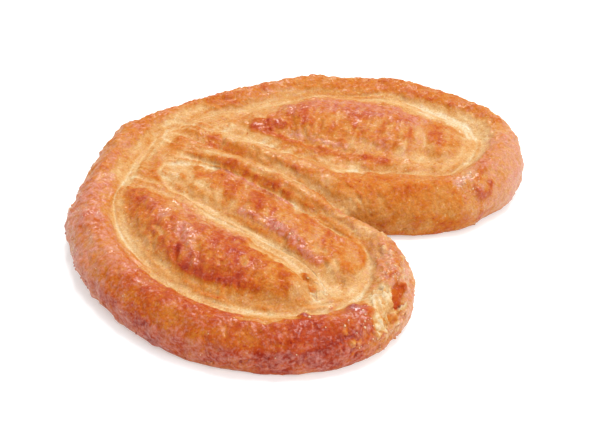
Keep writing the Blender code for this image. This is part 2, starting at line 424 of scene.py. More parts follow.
def slab_mesh():
    """The heart-shaped slab: the flat outline, given thickness and remeshed into even small faces."""
    curve = bpy.data.curves.new("heart_outline", "CURVE")
    curve.dimensions = "2D"
    curve.fill_mode = "BOTH"
    curve.extrude = SLAB_HEIGHT / 2 * MM
    points = outline()[:-1]
    spline = curve.splines.new("POLY")
    spline.points.add(len(points) - 1)
    for point, (x, y) in zip(spline.points, points):
        point.co = (x * MM, y * MM, 0, 1)
    spline.use_cyclic_u = True
    solid = mesh_of(new_object("heart_outline", curve))

    shape = bmesh.new()
    shape.from_mesh(solid)
    bmesh.ops.remove_doubles(shape, verts=shape.verts, dist=MERGE_WITHIN * MM)
    bmesh.ops.translate(shape, verts=shape.verts, vec=(0, 0, SLAB_HEIGHT / 2 * MM))
    shape.to_mesh(solid)
    shape.free()

    slab = new_object("slab", solid)
    remesh = slab.modifiers.new("even_faces", "REMESH")
    remesh.mode = "VOXEL"
    remesh.voxel_size = VOXEL * MM
    return mesh_of(slab)


def softened(mesh):
    obj = new_object("crust_to_soften", mesh)
    soft = obj.modifiers.new("soft", "SMOOTH")
    soft.factor = SOFTENING
    soft.iterations = SOFT_PASSES
    return mesh_of(obj)


def fewer_underneath(mesh):
    """Keeps fewer faces on the flat underside, where there is less to see."""
    heights = places_of(mesh)[:, 2]
    under = np.flatnonzero((normals_of(mesh)[:, 2] < UNDERSIDE_FACING) & (heights < UNDERSIDE_BELOW))
    obj = new_object("crust_to_thin", mesh)
    group = obj.vertex_groups.new(name="underside")
    group.add(under.tolist(), 1.0, "REPLACE")
    thinned = obj.modifiers.new("fewer_faces", "DECIMATE")
    thinned.decimate_type = "COLLAPSE"
    thinned.vertex_group = "underside"
    thinned.ratio = 1 - (1 - UNDERSIDE_SHARE) * len(under) / len(heights)
    thinned.use_collapse_triangulate = True
    return mesh_of(obj)


def tidy_normals(mesh):
    shape = bmesh.new()
    shape.from_mesh(mesh)
    bmesh.ops.recalc_face_normals(shape, faces=shape.faces)
    shape.to_mesh(mesh)
    shape.free()


def crust_piece(name, mesh, material):
    mesh.materials.append(material)
    mesh.shade_smooth()
    piece = new_object(name, mesh)
    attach(piece, "root")
    return piece


# ---- the crust's shape


# The crust's relief: how high each kind stands, and how far across it is.
SWELL, SWELL_SIZE = 0.28, 9.0
DENT, DENT_SIZE = 0.20, 3.2
BUMP, BUMP_SIZE = 0.24, 2.1
PIMPLE, PIMPLE_SIZE = 0.20, 1.15
GRIT, GRIT_SIZE = 0.10, 0.8
BLISTER, BLISTER_SIZE = 0.34, 2.3
KNOB, KNOB_SIZE = 0.8, 1.35
STRATUM, STRATUM_WIDTH, STRATUM_LENGTH = 0.24, 0.75, 11.0
SLANTED_PLEAT, UPRIGHT_PLEAT = 0.36, 0.20
STRAND, STRAND_WIDTH, STRAND_LENGTH = 0.2, 0.85, 3.4
SHRED, SHRED_WIDTH, SHRED_LENGTH = 0.30, 0.8, 3.4
TORN_DEPTH = 0.35
INNER_VALLEYS_FILLED = 0.75    # share of the inner valleys' depth in the CAD that the crust fills again
BROWN_STANDS_PROUD = 1.3  # millimetres for a whole step of browning: bumps brown first, creases stay pale

# Lines along which the layers of dough show as fine ridges: the knots and the strip's half width.
STRATA = [
    ([(-30, 8), *[place[:2] for place in SEAM], NOTCH], 9.0),
    ([place[:2] for place in NEAR_CENTRE_VALLEY[0]], 5.0),
]

# Creases pressed into the top: the knots, depth and half width.
CREASES = [
    ([(-24, -31), (-17, -38.6), (-8, -43.2), (2, -46)], 0.4, 0.45),
    ([(4, -43.6), (12, -44.7), (20, -44.2)], 0.3, 0.4),
    ([(25.8, -39.4), (28.3, -37.6), (29.9, -35.9)], 0.45, 0.4),
    ([(-14, 3.2), (-4, 2.3), (6, -0.4)], 0.3, 0.4),
    ([(-12, -4.6), (0, -6.4), (12, -9.2)], 0.35, 0.5),
    ([(36.8, -29.7), (38, -29.5), (39.7, -29.1)], 0.5, 0.4),
    ([(39.2, -23.1), (39.7, -23.8), (40.6, -25)], 0.7, 0.35),
]

# Hollows where a flake has come away or a blister has sunk: x, y, z, the two half lengths, turn and depth.
HOLLOWS = [
    ((41.3, -27.8, 8.4), (3.9, 1.6), -75, 1.3),
    ((42.2, -34.9, 7.6), (2, 1.1), -60, 0.8),
    ((23.3, -33.1, 9.6), (3.4, 0.9), -52, 1.3),
    ((29.6, -30, 9.3), (0.9, 0.6), -60, 0.5),
    ((-21, 9, 9.5), (3.4, 2), -40, 0.5),
]

# Where the crust has torn off the near roll's tip: x, y, z, the two half lengths and turn.
TORN_OVALS = [((39.2, -32.2, 9.4), (4.8, 3.4), -52), ((41, -37, 8), (2.8, 1.9), -60)]

# Where the skin is knobbly, with burst blisters and stuck crumbs: x, y, z and reach.
KNOBBLY = [
    (31.5, -10.8, 9.5, 2.4), (35, -16.5, 9.6, 3.2), (38.4, -20.4, 8.6, 3.4), (37.4, -25.2, 9.6, 2.4),
    (41.8, -38, 7, 2.6), (43.4, -31.5, 6, 2.6), (38, -43.6, 7, 2.8),
]

# Lumps of dough or burnt sugar: x, y, z, half lengths, turn and height.
LUMPS = [
    ((41.9, 16.8, 9.1), (2.3, 1.7), 35, 0.9),
    ((38.7, 15.2, 10.4), (1.3, 1), 60, 0.5),
    ((40.4, 21.6, 11), (1.2, 0.9), 0, 0.35),
    ((38.5, 18, 11), (1.3, 0.9), 60, 0.4),
    ((27.4, -43.2, 9), (0.9, 0.6), 20, 0.4),
    ((-20, -23, 11), (3, 2), -40, 0.4),
    ((-6, -30, 12.5), (2, 1.4), -50, 0.35),
    ((36.5, -42.2, 9.6), (1.8, 1.2), 30, 0.3),
    ((38.5, -39.6, 9), (1.6, 1), 60, 0.3),
]


def read_skin(mesh):
    """What the crust's relief and tones go by, at each point of the smooth crust."""
    points, normals = places_of(mesh), normals_of(mesh)
    in_tables = points + np.array([*CAD_MIDDLE, 0.0])  # the outline and the folds have their own origin
    edge = outline()
    edge_distance, _, _, _, edge_place = nearest(in_tables, edge)
    return SimpleNamespace(
        points=points,
        normals=normals,
        layers=layers_of(in_tables),
        upward=smoothstep(0.25, 0.75, normals[:, 2]),
        steep=1 - smoothstep(0.4, 0.8, np.abs(normals[:, 2])),
        edge_distance=edge_distance,
        edge_place=edge_place,
        arc=along_line(edge_place, edge),
    )


def knobs(points):
    """The knobbly skin's lumps, 0 in a crease and about 1 on a lump."""
    return billows(points, KNOB_SIZE, seed=36)


def knobbly(points):
    """How knobbly the skin is, from 0 to 1."""
    share = np.zeros(len(points))
    for *place, reach in KNOBBLY:
        away = np.linalg.norm(points - np.array(place), axis=1) / reach
        share = np.maximum(share, np.exp(-(away ** 4)))
    return share


def fine_relief(skin):
    """The crust's own roughness: bumps, pimples and grit, less of them down in the valleys."""
    points, layers = skin.points, skin.layers
    rough = BUMP * (billows(points, BUMP_SIZE, seed=3) - 0.5)
    rough += PIMPLE * (billows(points, PIMPLE_SIZE, seed=33) - 0.5)
    rough += GRIT * cloud(points / GRIT_SIZE, seed=4)
    crusty = 1 - 0.6 * np.clip(layers["valley"] / VALLEY_DEPTH + layers["inner_valley"], 0, 1)
    return crusty * rough * (1 - 0.35 * skin.steep) + KNOB * knobbly(points) * (knobs(points) - 0.5)


def fibres(skin):
    """Fine strands of skin, stretched across the folds as they puffed up."""
    x, y, z = skin.points.T
    strands = stacked((x + 0.2 * y) / STRAND_WIDTH, y / STRAND_LENGTH, z / STRAND_LENGTH)
    return np.clip(skin.layers["folds"] / 1.2, 0, 1) * skin.upward * cloud(strands, seed=38)


def layer_lines(lengthways, across, seed):
    """Noise drawn out lengthways, so that it makes fine ridges with their width across."""
    return cloud(stacked(lengthways / STRATUM_LENGTH, across / STRATUM_WIDTH, 0), seed)


def lamination(skin):
    """Fine ridges where the layers of dough meet the surface, running along the folds."""
    points = skin.points
    ridged = np.zeros(len(points))
    for knots, half_width in STRATA:
        line = smooth_line(knots)
        distance, direction, normal, _, place = nearest(points, line)
        side = np.sign((direction * normal).sum(axis=1))
        ridges = layer_lines(along_line(place, line), distance * side, seed=8)
        ridged += STRATUM * ridges * bell(distance, half_width)
    across = skin.edge_distance + 0.5 * cloud(points / 6.0, seed=10)
    beside_valley = np.clip(1.6 * (skin.layers["valley"] / VALLEY_DEPTH) ** 0.6, 0, 1)
    ridged += STRATUM * layer_lines(skin.arc, across, seed=9) * beside_valley
    return ridged * skin.upward


def wrinkles(skin):
    """Slanting and upright folds in the skin of the rounded side."""
    arc, height = skin.arc, skin.points[:, 2]
    slanted = cloud(stacked((arc + 0.8 * height) / 5.0, (height - 0.5 * arc) / 1.2, 0), seed=6)
    upright = cloud(stacked(arc / 1.8, height / 4.5, 0), seed=7)
    return skin.steep * (SLANTED_PLEAT * slanted + UPRIGHT_PLEAT * upright)


def torn_patch(points):
    """Where the crust at the near roll's tip has torn off, and the ragged dough inside it."""
    radius = np.minimum(*(oval(points, *place) for place in TORN_OVALS)) + 0.3 * clouds(points, 2.2, seed=14)
    x, y, _ = points.T
    shreds = cloud(stacked((x + y) / SHRED_WIDTH, (x - y) / SHRED_LENGTH, 0), seed=15)
    return smoothstep(1.15, 0.85, radius), shreds + 0.5 * cloud(points / 0.9, seed=16)


def relief(skin, rough, pale):
    """How far each point of the smooth crust moves out along its normal."""
    points, layers, upward = skin.points, skin.layers, skin.upward
    moved = SWELL * clouds(points, SWELL_SIZE, seed=1, layers=2)
    moved += DENT * (1 - 0.6 * pale) * clouds(points, DENT_SIZE, seed=2, layers=2)
    moved += rough
    popped = smoothstep(-0.1, 0.6, cloud(points / 7.0, seed=5)) * upward * (1 - 0.8 * pale)
    moved += BLISTER * popped * bubbles(points, BLISTER_SIZE, seed=30)
    *_, kept = edge_tones(skin)
    kept = np.clip(kept + 0.25 * clouds(points, 8.0, seed=34, layers=2), 0.2, 1.2)
    moved += (1 - kept) * layers["valley"] * upward
    moved += INNER_VALLEYS_FILLED * layers["inner_valley"] * upward

    wavering = 0.25 * cloud(points / 1.6, seed=35)
    for knots, depth, half_width in CREASES:
        moved -= depth * bell(nearest(points, smooth_line(knots))[0] + wavering, half_width) * upward
    ragged = 0.22 * cloud(points / 1.4, seed=12) + 0.16 * cloud(points / 0.8, seed=17)
    for *place, depth in HOLLOWS:
        moved -= depth * smoothstep(1.2, 0.8, oval(points, *place) + ragged)
    uneven = 0.15 * cloud(points / 1.2, seed=13)
    for *place, height in LUMPS:
        moved += height * np.clip(1 - (oval(points, *place) + uneven) ** 2, 0, 1) ** 0.8

    torn, shreds = torn_patch(points)
    moved += torn * (SHRED * shreds - TORN_DEPTH)
    return moved * (1 - 0.6 * smoothstep(-0.5, -0.9, skin.normals[:, 2]))


# ---- how brown, pink and glossy the crust is


# Along the outline, by the number of knots passed: the rim's browning, the side's browning, the painted
# pinkish sheen of each, then the browning, half width and share of full depth of the valley inside the rim.
EDGE_TONES = [
    (0, 0.44, 0.4, 0.05, 0, 0.3, 1.5, 0.8),
    (1, 0.46, 0.46, 0.05, 0, 0.28, 1.6, 0.8),
    (2, 0.5, 0.56, 0.05, 0, 0.27, 1.7, 0.9),
    (4, 0.46, 0.56, 0.15, 0.05, 0.24, 2, 0.9),
    (5, 0.42, 0.34, 0.5, 0.6, 0.2, 2.4, 0.8),
    (6, 0.36, 0.22, 0.9, 1, 0.18, 2.6, 0.8),
    (7, 0.38, 0.28, 0.7, 0.9, 0.1, 2.8, 0.9),
    (8, 0.44, 0.4, 0.4, 0.6, 0.04, 2.8, 0.9),
    (9, 0.56, 0.48, 0.15, 0.3, 0.16, 2.4, 0.8),
    (10, 0.58, 0.5, 0.1, 0.2, 0.26, 2.8, 0.6),
    (12, 0.54, 0.5, 0.15, 0.2, 0.27, 2.8, 0.6),
    (14, 0.48, 0.5, 0.25, 0.3, 0.18, 3.4, 0.6),
    (16, 0.46, 0.5, 0.25, 0.6, 0.15, 3.2, 0.6),
    (18, 0.58, 0.5, 0.6, 1, 0.2, 2.6, 0.6),
    (19, 0.6, 0.5, 0.85, 1.25, 0.22, 2.4, 0.7),
    (20, 0.54, 0.46, 0.9, 1.25, 0.24, 2.2, 0.8),
    (21, 0.54, 0.7, 0.55, 0.8, 0.22, 1.8, 0.9),
    (22, 0.7, 0.82, 0.25, 0.55, 0.18, 1.4, 0.9),
    (23, 0.7, 0.84, 0.15, 0.5, 0.14, 1.6, 1),
    (24, 0.72, 0.88, 0.15, 0.45, 0.08, 2.3, 1),
    (25, 0.82, 0.88, 0.2, 0.4, 0.14, 2.4, 1),
    (26, 0.62, 0.6, 0.3, 0.4, 0.2, 2.4, 0.8),
    (27, 0.48, 0.42, 0.45, 0.6, 0.24, 2.4, 0.8),
    (28, 0.5, 0.4, 0.5, 0.6, 0.24, 2.2, 0.8),
    (30, 0.38, 0.44, 0.45, 0.5, 0.26, 1.6, 0.7),
    (32, 0.44, 0.46, 0.2, 0.2, 0.32, 1.4, 0.7),
]

PLAIN_BAKE = 0.44
# the plain top's painted pinkish sheen: a reflection of the white studio, painted into the colour
PLAIN_PAINTED_SHEEN = 0.1
PLAIN_GLOSS = 0.42
INNER_VALLEY_BAKE = 0.16
SEAM_BAKE = 0.28
UNDERSIDE_BAKE = 0.66
TORN_BAKE, SHRED_PALER = 0.08, 0.17
# How much a millimetre of each relief browns the crust, and how much less where it is pale; where the
# crust is pale, the rough relief's creases come out browner instead, which is painted warm shade.
ROUGH_BROWNS, PALE_CREASE_PAINTED_SHADE = 0.22, 0.5
STRATUM_BROWNS, STRATUM_BROWNS_LESS = 0.75, -0.05
PLEAT_BROWNS = -0.20
STRAND_BROWNS = -0.16
KNOB_BROWNS = -0.65

# Touches of browning laid over that, in order. Each runs along knots (x, y[, z]) with a half width, and
# has a browning, a painted pinkish sheen, a gloss and a strength.
TOUCHES = [
    # rim crest, round the far side
    ([(-40, 4), (-33, 19), (-25, 30), (-14, 40)], 2.4, 0.6, 0.2, 0.3, 0.8),
    ([(-27, 25), (-25, 27)], 2.2, 0.68, 0, 0.3, 0.8),
    ([(-10, 43), (-4, 45), (6, 48.6), (18, 48.6)], 2, 0.62, 0, 0.3, 0.85),
    ([(18, 48.6), (30, 46.6), (37, 41)], 1.8, 0.56, 0.15, 0.3, 0.8),
    ([(38.6, 37), (40, 28), (39.4, 21)], 1.4, 0.56, 0.55, 0.3, 0.75),
    # near blister: its body, then the scorched and the glossy parts of it, with glints of painted sheen
    ([(-24, -20), (-15, -26), (-5, -30)], 5.2, 0.58, 0.1, 0.4, 0.9),
    ([(-6, -30), (4, -34), (14, -37), (20, -38)], 6.2, 0.64, 0.1, 0.5, 0.95),
    ([(-14, -20.4), (-4, -23.6), (5, -26)], 2.6, 0.52, 0.6, 0.4, 0.85),
    ([(12, -29), (16, -33), (20, -36.4)], 4, 0.63, 0, 0.05, 0.95),
    ([(-4, -27), (3, -31), (9, -35)], 3.4, 0.76, 0.15, 0.4, 0.85),
    ([(4, -26.6), (6.4, -30.6)], 1.5, 0.77, 0.05, 0.5, 0.85),
    ([(5, -33.4), (10, -35)], 1.7, 0.8, 0.05, 0.5, 0.8),
    ([(9.4, -34.4), (10.6, -36)], 0.9, 0.44, 0, 0.4, 0.8),
    ([(-8, -35), (-2, -38), (6, -40), (14, -39.6)], 2, 0.82, 0, 0.4, 0.85),
    ([(-2, -39.8), (3, -40.8), (11, -41.6)], 1.2, 0.92, 0, 0.5, 0.9),
    ([(10, -41), (13, -40)], 1.5, 0.84, 0, 0.5, 0.85),
    ([(14, -38.6), (20, -38.8)], 1.6, 0.6, 0, 0.3, 0.7),
    ([(-17, -28), (-12, -31), (-8, -34)], 1.9, 0.7, 0, 0.5, 0.85),
    ([(-26, -19.6), (-21, -25)], 1.3, 0.66, 0, 0.4, 0.8),
    ([(-22, -21.6), (-17, -24.6)], 1.4, 0.7, 0.25, 0.6, 0.75),
    ([(-9.6, -22), (-8, -26)], 0.8, 0.74, 0.2, 0.5, 0.8),
    ([(-14, -30.4), (-10.6, -32.6)], 0.5, 0.32, 0.2, 0.6, 0.7),
    ([(-15, -24.6), (-13.6, -27)], 1.3, 0.56, 0.6, 0.9, 0.7),
    ([(-8.4, -28.6), (-5.6, -31.4), (-3.6, -34)], 1.6, 0.66, 0.6, 1, 0.8),
    ([(-2, -36.6), (0.6, -38.6)], 1.3, 0.76, 0.2, 0.8, 0.8),
    # the pale strip and the sandy band below it
    ([(-25, -28), (-17, -34.6), (-9, -39.8), (0, -43.6)], 1.7, 0.22, 0.05, 0.1, 0.8),
    ([(-6, -41.6), (4, -43), (14, -43), (24, -40.6)], 1.2, 0.4, 0, 0.1, 0.85),
    ([(3, -44.4), (11, -45), (19, -44)], 0.5, 0.6, 0, 0.2, 0.85),
    ([(0, -45.2), (9, -46.4), (18, -46)], 0.8, 0.3, 0, 0.2, 0.8),
    ([(14, -46.2), (21, -46.4), (26, -44.6)], 1.7, 0.25, 0, 0.2, 0.8),
    ([(16, -49.6), (22, -49), (26, -47.4)], 1, 0.36, 0.1, 0.3, 0.7),
    ([(22, -42), (29, -37.6)], 0.6, 0.5, 0, 0.2, 0.7),
    ([(-23, -35), (-14, -42), (-4, -45.6)], 0.45, 0.6, 0.3, 0.2, 0.85),
    ([(-31, -20), (-29, -27), (-24, -33.6)], 0.4, 0.5, 0.2, 0.2, 0.8),
    ([(-34, 12), (-34.6, 2), (-34, -8), (-32, -16)], 0.4, 0.46, 0.1, 0.2, 0.8),
    # centre valley, and the cream layers at its end
    ([(-22, -8.4), (-13, -12), (-5, -15.6)], 2.4, 0.3, 0.05, 0.2, 0.8),
    ([(-26, -16), (-16, -16.4), (-8, -17.6)], 1.5, 0.3, 0.15, 0.2, 0.7),
    ([(-9, -18.6), (0, -20.6), (12, -23.2)], 1.7, 0.22, 0, 0.1, 0.85),
    ([(8, -25), (16, -28), (24, -32)], 2.6, 0.16, 0, 0.1, 0.9),
    ([(20, -26), (25, -28), (29, -30.4)], 2.2, 0.24, 0.05, 0.1, 0.85),
    ([(23, -20), (27, -23), (29.6, -28)], 1.4, 0.36, 0.05, 0.2, 0.7),
    ([(28, -15), (31, -20), (32, -27), (30, -33)], 1.5, 0.22, 0.1, 0.2, 0.85),
    ([(-5, -17.4), (4, -19.4), (12, -22), (21, -24.8)], 0.6, 0.48, 0, 0.3, 0.85),
    ([(24, -37), (28, -35), (33, -31)], 2.1, 0.15, 0.1, 0.1, 0.9),
    ([(31.8, -23), (32.4, -28)], 1.1, 0.2, 0.15, 0.1, 0.8),
    ([(33.2, -22), (33.8, -27)], 0.7, 0.46, 0.05, 0.2, 0.7),
    ([(21.2, -30.6), (23.4, -33), (24.8, -35)], 0.9, 0.7, 0, 0.3, 1),
    ([(22, -36.4), (24, -38.4)], 1, 0.54, 0, 0.4, 0.8),
    # back fold
    ([(4, -11), (14, -14), (24, -19)], 3.2, 0.46, 0.2, 0.4, 0.8),
    ([(-24, -4), (-21, -8), (-16, -11)], 3.4, 0.26, 0.05, 0.2, 0.85),
    ([(-12, -5), (-6, -7.6), (2, -10)], 3.6, 0.64, 0, 0.4, 0.9),
    ([(-8.4, -6.6), (-6.6, -9), (-4.8, -12)], 1.7, 0.76, 0, 0.4, 0.9),
    ([(-1.6, -7), (0.4, -10), (2.4, -14)], 1.9, 0.76, 0, 0.4, 0.9),
    ([(-4.4, -7), (-2.6, -12)], 0.9, 0.54, 0.45, 0.4, 0.8),
    ([(2.6, -7.6), (6, -10)], 1, 0.5, 0.6, 0.4, 0.7),
    ([(4.4, -12), (6, -14.6)], 0.9, 0.72, 0, 0.4, 0.7),
    ([(6.6, -11.6), (8, -14)], 0.8, 0.38, 0, 0.3, 0.7),
    ([(12, -12), (15, -17)], 1.8, 0.6, 0.05, 0.4, 0.75),
    ([(18.6, -14), (20.6, -18), (22.6, -22)], 1.5, 0.66, 0.05, 0.4, 0.8),
    ([(23.6, -17), (25, -21)], 0.9, 0.66, 0.1, 0.4, 0.7),
    ([(25, -21.6), (26.6, -24.4), (28.6, -27)], 0.9, 0.66, 0, 0.2, 0.8),
    ([(22.4, -23.4), (25.2, -26.2)], 0.7, 0.56, 0, 0.2, 0.7),
    ([(28.4, -17.4), (30.2, -22), (30, -27)], 0.6, 0.58, 0, 0.2, 0.7),
    ([(17, -12), (18.6, -16)], 0.5, 0.3, 0.2, 0.2, 0.6),
    # the mauve streak on the back fold: painted sheen and glints
    ([(-1, -16), (4, -17.2), (9, -18.6)], 1, 0.64, 0.7, 0.7, 0.85),
    ([(9, -18.6), (13, -20.2), (17, -22.8), (22, -25.4)], 1.1, 0.72, 0.7, 0.7, 0.9),
    ([(1.6, -16.4), (3, -17)], 0.6, 0.8, 0.3, 0.6, 0.8),
    ([(-18.6, -3.6), (-17, -6), (-15.4, -8.4)], 1, 0.62, 0, 0.3, 0.85),
    ([(-13.4, -3.6), (-12, -7), (-11, -10.4)], 0.9, 0.6, 0, 0.3, 0.85),
    ([(-20.4, -8), (-19.4, -9.4)], 0.6, 0.52, 0, 0.2, 0.8),
    ([(-15.6, -11.4), (-14.2, -12.6)], 0.7, 0.5, 0, 0.2, 0.8),
    ([(-22.6, -5.6), (-22, -6.4)], 0.5, 0.5, 0, 0.2, 0.8),
    ([(-14, -1.6), (-21, -2.4), (-26.4, -5), (-25.6, -9), (-20, -12.6)], 0.6, 0.14, 0.05, 0.2, 0.9),
    ([(-14, -0.6), (-22, -1.2), (-27.8, -4.6), (-27, -9.6), (-21, -14)], 0.4, 0.5, 0.1, 0.2, 0.8),
    # near leg and the layers beside it
    ([(-24, 1.3), (-12, 0.7)], 0.7, 0.58, 0, 0.3, 0.85),
    ([(-12, 0.4), (-4, -1.8), (2, -3.6)], 1.1, 0.76, 0, 0.3, 0.9),
    ([(4, -4.8), (8, -6.4), (12.6, -8)], 0.8, 0.62, 0, 0.3, 0.85),
    ([(-13, -2.2), (-5, -3.9), (1, -5.6), (7, -7.8)], 0.8, 0.68, 0.9, 0.5, 0.9),
    ([(5, -6.2), (13, -8.4), (21, -10.6), (27, -14)], 0.6, 0.2, 0.1, 0.2, 0.8),
    ([(14, -9.8), (21, -11.8), (27, -15.6), (29, -19)], 0.8, 0.52, 0, 0.2, 0.8),
    ([(29, -13), (32, -17), (34.6, -22)], 0.8, 0.64, 0.6, 0.3, 0.85),
    # paler along the crease by the notch on the near roll: painted light lifting the shade in it
    ([(25, -10.4), (29, -13.8), (32.4, -18)], 1.3, 0.24, 0.3, 0.3, 0.8),
    ([(-22, 3.2), (-10, 2.6), (-2, 0.2)], 0.9, 0.26, 0.1, 0.2, 0.7),
    # far leg
    ([(-17, 7.2), (-10, 6.4), (-2, 5.6), (6, 4.4)], 0.8, 0.6, 0, 0.3, 0.9),
    ([(2, 2.6), (8, 2.2)], 0.6, 0.5, 0, 0.3, 0.7),
    ([(-22, 11), (-20.4, 7)], 1.7, 0.68, 0.15, 0.2, 0.85),
    ([(-24, 20), (-27, 14), (-28.4, 7), (-28, 0), (-29.4, -8)], 2.3, 0.45, 0.1, 0.2, 0.85),
    ([(-28, 6), (-27.4, 2)], 1.6, 0.56, 0, 0.2, 0.8),
    ([(-16, 9.6), (-4, 9)], 1, 0.24, 0.05, 0.2, 0.7),
    ([(10.4, 8), (13, 11.6)], 1.6, 0.12, 0.05, 0.4, 0.9),
    ([(17, 3.6), (26, 6), (35, 9)], 3.6, 0.56, 0, 0, 0.95),
    ([(18, -0.8)], 1, 0.42, 0, 0.3, 0.7),
    # far core: lower strips, body, scorched spots, then the streaks of painted pink sheen and the pale
    # streaks
    ([(-15, 16.8), (-3, 15.6), (10, 15.2), (18, 17)], 0.9, 0.68, 0, 0.4, 0.9),
    ([(14.6, 16.8), (18.6, 17.4)], 1.1, 0.8, 0, 0.4, 0.85),
    ([(-6, 18), (1, 18), (8, 17.8)], 0.7, 0.44, 0.8, 0.5, 0.8),
    ([(-9, 22), (2, 24), (14, 24), (21, 22.4)], 4, 0.58, 0, 0.3, 0.9),
    ([(-4, 32), (6, 35), (16, 35)], 5.2, 0.72, 0.95, 0.25, 0.9),
    ([(-10, 26), (-3, 30), (6, 33), (15, 32)], 2.8, 0.68, 0.4, 0.5, 0.85),
    ([(4, 24.6), (12, 25), (21, 24)], 2.2, 0.52, 0, 0.4, 0.8),
    ([(-8, 27.4), (-3.4, 22.6)], 1.4, 0.74, 0.1, 0.4, 0.8),
    ([(5.4, 28.6), (7, 25.6)], 1.6, 0.84, 0.05, 0.5, 0.75),
    ([(-14.6, 18.7), (-12, 18.4)], 1.7, 0.86, 0, 0.5, 0.8),
    ([(-9.8, 19.8), (-8.6, 19.6)], 1.1, 0.84, 0, 0.5, 0.75),
    ([(14.6, 33), (17.4, 27)], 1.1, 0.7, 0.1, 0.4, 0.8),
    ([(17, 28.6), (19, 26.6)], 1.3, 0.46, 0.3, 0.4, 0.8),
    ([(19.6, 29.6), (21, 26)], 0.8, 0.7, 0, 0.4, 0.75),
    ([(23, 34), (25.6, 31), (27, 28)], 2.1, 0.7, 0.1, 0.3, 0.9),
    ([(25, 30), (26, 28.6)], 1.1, 0.82, 0.05, 0.4, 0.8),
    ([(10, 19.8), (22, 20.6)], 1.5, 0.34, 0.5, 0.3, 0.8),
    ([(19.2, 36), (21, 30.6), (23.8, 25.4)], 1.5, 0.34, 0.45, 0.5, 0.6),
    # far rim valley
    ([(16, 43), (24, 43), (30, 40.4), (33, 36)], 3, 0.1, 0, 0.2, 0.9),
    ([(25, 42.6), (30, 40.6), (32.6, 37)], 2, 0, 0, 0.3, 0.9),
    ([(34, 33), (34.4, 27), (32.6, 21)], 2.4, 0.22, 0, 0.1, 0.8),
    ([(-16, 35), (-6, 40), (5, 42.8), (15, 43)], 1.5, 0.28, 0, 0.2, 0.8),
    ([(24, 21.6), (30, 22), (33, 24)], 1.8, 0.28, 0.15, 0.2, 0.8),
    # base valley
    ([(-30, 19), (-33, 12), (-34, 4), (-34, -6), (-32.6, -14)], 2.5, 0.15, 0, 0.1, 0.9),
    # far tip
    ([(37.4, 14), (39, 18)], 1.1, 0.4, 0.95, 0.9, 0.85),
    ([(41.2, 15.2, 9.2), (42.8, 15.4, 8.2), (43.6, 17.6, 8.2), (42.8, 19.6, 9)], 1.2, 0.8, 0.1, 0.9, 0.85),
    ([(40.3, 17.4, 10.4), (40.4, 21.6, 11)], 0.9, 0.76, 0.1, 0.8, 0.8),
    ([(41.8, 17.2, 9.4)], 0.9, 0.44, 0.6, 0.8, 0.8),
    ([(43.8, 24.2, 9.5)], 1.1, 0.44, 0, 0.4, 0.7),
    ([(41.6, 30), (42.6, 25)], 1.2, 0.44, 0.8, 0.6, 0.7),
    ([(43, 15, 3.6)], 1.6, 0.84, 0.2, 0.4, 0.7),
    # the notch's far wall: paler near the notch's inner corner and low down, painted light lifting the shade
    # there; the darker line along its foot is painted shadow
    ([(17, -1.2, 8.4), (21, -1, 5.5)], 2.2, 0.3, 0, 0, 0.9),
    ([(22, 0, 6.5), (28, 3.8, 6.5), (37, 9, 6)], 3.4, 0.48, 0, 0, 0.85),
    ([(18, -2, 3), (23, 0.8, 2.4)], 1.8, 0.4, 0, 0, 0.85),
    ([(35, 7, 1.6), (24, 1, 1.4)], 1.2, 0.74, 0.1, 0.1, 0.6),
    # near tip
    ([(34.6, -16), (37.5, -22), (38.4, -25)], 3.2, 0.56, 0.5, 0.6, 0.85),
    ([(33.6, -33), (36.4, -31), (38.8, -28.6)], 0.8, 0.06, 0, 0.2, 0.9),
    ([(37.4, -38.6, 9), (39.6, -40, 8)], 1.3, 0.58, 0.2, 0.4, 0.8),
    ([(36.6, -18.6), (37.4, -20)], 0.8, 0.74, 0.3, 0.4, 0.8),
    ([(38, -23), (38.6, -25)], 0.8, 0.74, 0.3, 0.4, 0.8),
    ([(33.2, -34, 9.6), (35, -38, 9.6)], 1.3, 0.78, 0.2, 0.6, 0.9),
    ([(28.6, -48, 9.6), (36, -43.4, 9.2)], 3.4, 0.88, 0, 0.45, 0.9),
    ([(36, -37.6, 9.6), (38.6, -41, 8.4)], 1.9, 0.86, 0.3, 0.9, 0.85),
    ([(31, -37.6), (32.6, -42)], 0.9, 0.52, 0.6, 0.4, 0.7),
    ([(33.4, -39, 9.8), (34, -41, 9.8)], 1.1, 0.6, 0, 0.5, 0.9),
    ([(26.6, -43.2, 9), (28, -43.4, 9)], 0.9, 1, 0.3, 0.9, 0.9),
    ([(38.6, -17.6, 8.6), (40.6, -22.4, 7.8), (42.6, -26, 7)], 1.4, 0.26, 1, 0.5, 0.85),
    ([(40.6, -25.2, 8.8), (41, -28, 8.4), (41.8, -30.6, 7.8)], 1.5, 0.84, 0, 0, 1),
    ([(41.6, -35.6, 8), (42.6, -33.6, 7.2)], 1, 0.64, 0, 0.4, 1),
    ([(43.4, -24, 6), (43.6, -31, 5), (42.6, -36, 5)], 1.3, 0.26, 0.6, 0.3, 0.8),
    # left wall, with patches of painted pinkish sheen
    ([(-37, -26, 5), (-35, -29, 5)], 2.2, 0.86, 0.2, 0.5, 0.8),
    ([(-30.4, -32, 9.4), (-29, -35, 8)], 1.3, 0.76, 0.6, 0.6, 0.5),
    ([(-26.6, -33), (-24, -37)], 1.2, 0.72, 0.1, 0.5, 0.75),
    ([(-33, -29, 8), (-29.6, -38, 6)], 1.6, 0.46, 0.95, 0.7, 0.8),
    ([(-25, -38.6), (-22, -42)], 1.3, 0.44, 0.9, 0.8, 0.75),
    ([(-37, -21), (-34, -16)], 1.4, 0.42, 0.8, 0.5, 0.7),
    ([(-38.6, -11), (-36.6, -14)], 1.1, 0.6, 0, 0.3, 0.7),
]


def edge_tones(skin):
    """The columns of EDGE_TONES, at the place along the outline nearest each point."""
    knots, *columns = np.array(EDGE_TONES).T
    return [np.interp(skin.edge_place, knots, column) for column in columns]


